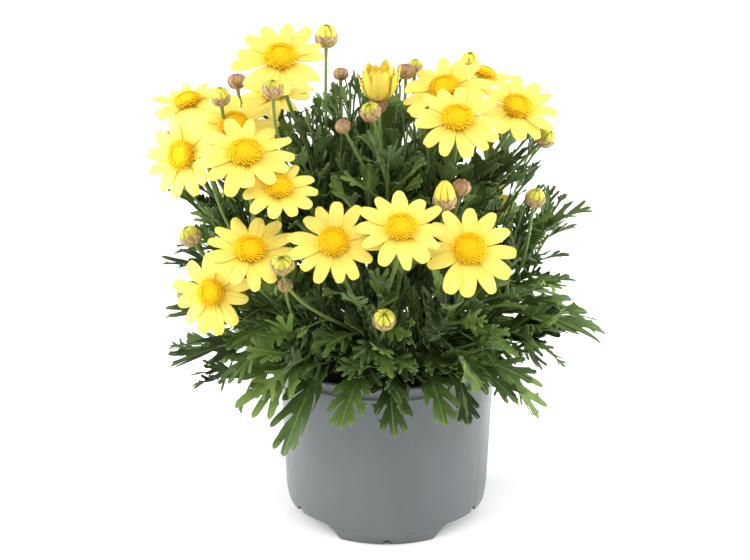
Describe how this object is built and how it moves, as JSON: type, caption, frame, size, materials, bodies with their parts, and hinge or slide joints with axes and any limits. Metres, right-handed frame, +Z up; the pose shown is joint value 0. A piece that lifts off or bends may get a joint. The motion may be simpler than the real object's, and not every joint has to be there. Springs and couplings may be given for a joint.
{
  "type": "potted marguerite daisy",
  "caption": "Yellow marguerite daisy in full bloom in a round grey plastic nursery pot, with deeply cut dark green leaves, open blooms, buds and one bloom just opening.",
  "frame": {"origin": "on the ground, under the middle of the plant and on the pot's axis", "axes": "+Z up along the pot's axis, -Y towards the front, which is the side that the picture shows, +X to the right as seen from the front"},
  "size_m": [0.2824, 0.2487, 0.3178],
  "materials": {
    "pot": "smooth grey injection-moulded polypropylene with a faint satin sheen",
    "soil": null,
    "leaf": null,
    "petal": null,
    "disc": null
  },
  "bodies": {
    "root": {"pot": "pot", "soil": "soil", "leafy_stem_front": "leaf", "leafy_stem_front_right": "leaf", "leafy_stem_right": "leaf", "leafy_stem_back_right": "leaf", "leafy_stem_back": "leaf", "leafy_stem_back_left": "leaf", "leafy_stem_left": "leaf", "leafy_stem_front_left": "leaf", "leafy_stem_crown_left": "leaf", "leafy_stem_crown_front": "leaf", "leafy_stem_crown_right": "leaf", "leafy_stem_crown_back": "leaf", "petals_top_left": "petal", "disc_top_left": "disc", "petals_behind_top_left": "petal", "disc_behind_top_left": "disc", "petals_far_left": "petal", "disc_far_left": "disc", "petals_left_upper": "petal", "disc_left_upper": "disc", "petals_left_edge": "petal", "disc_left_edge": "disc", "petals_left_middle": "petal", "disc_left_middle": "disc", "petals_left_small": "petal", "disc_left_small": "disc", "petals_front_left": "petal", "disc_front_left": "disc", "petals_low_left": "petal", "disc_low_left": "disc", "petals_front_first": "petal", "disc_front_first": "disc", "petals_front_second": "petal", "disc_front_second": "disc", "petals_front_third": "petal", "disc_front_third": "disc", "petals_right_upper": "petal", "disc_right_upper": "disc", "petals_right_behind": "petal", "disc_right_behind": "disc", "petals_right_edge": "petal", "disc_right_edge": "disc", "petals_right_far": "petal", "disc_right_far": "disc", "petals_back_first": "petal", "disc_back_first": "disc", "petals_back_second": "petal", "disc_back_second": "disc", "petals_back_right": "petal", "disc_back_right": "disc", "petals_back_left": "petal", "disc_back_left": "disc", "petals_opening": "petal", "disc_opening": "disc"}
  },
  "joints": []
}
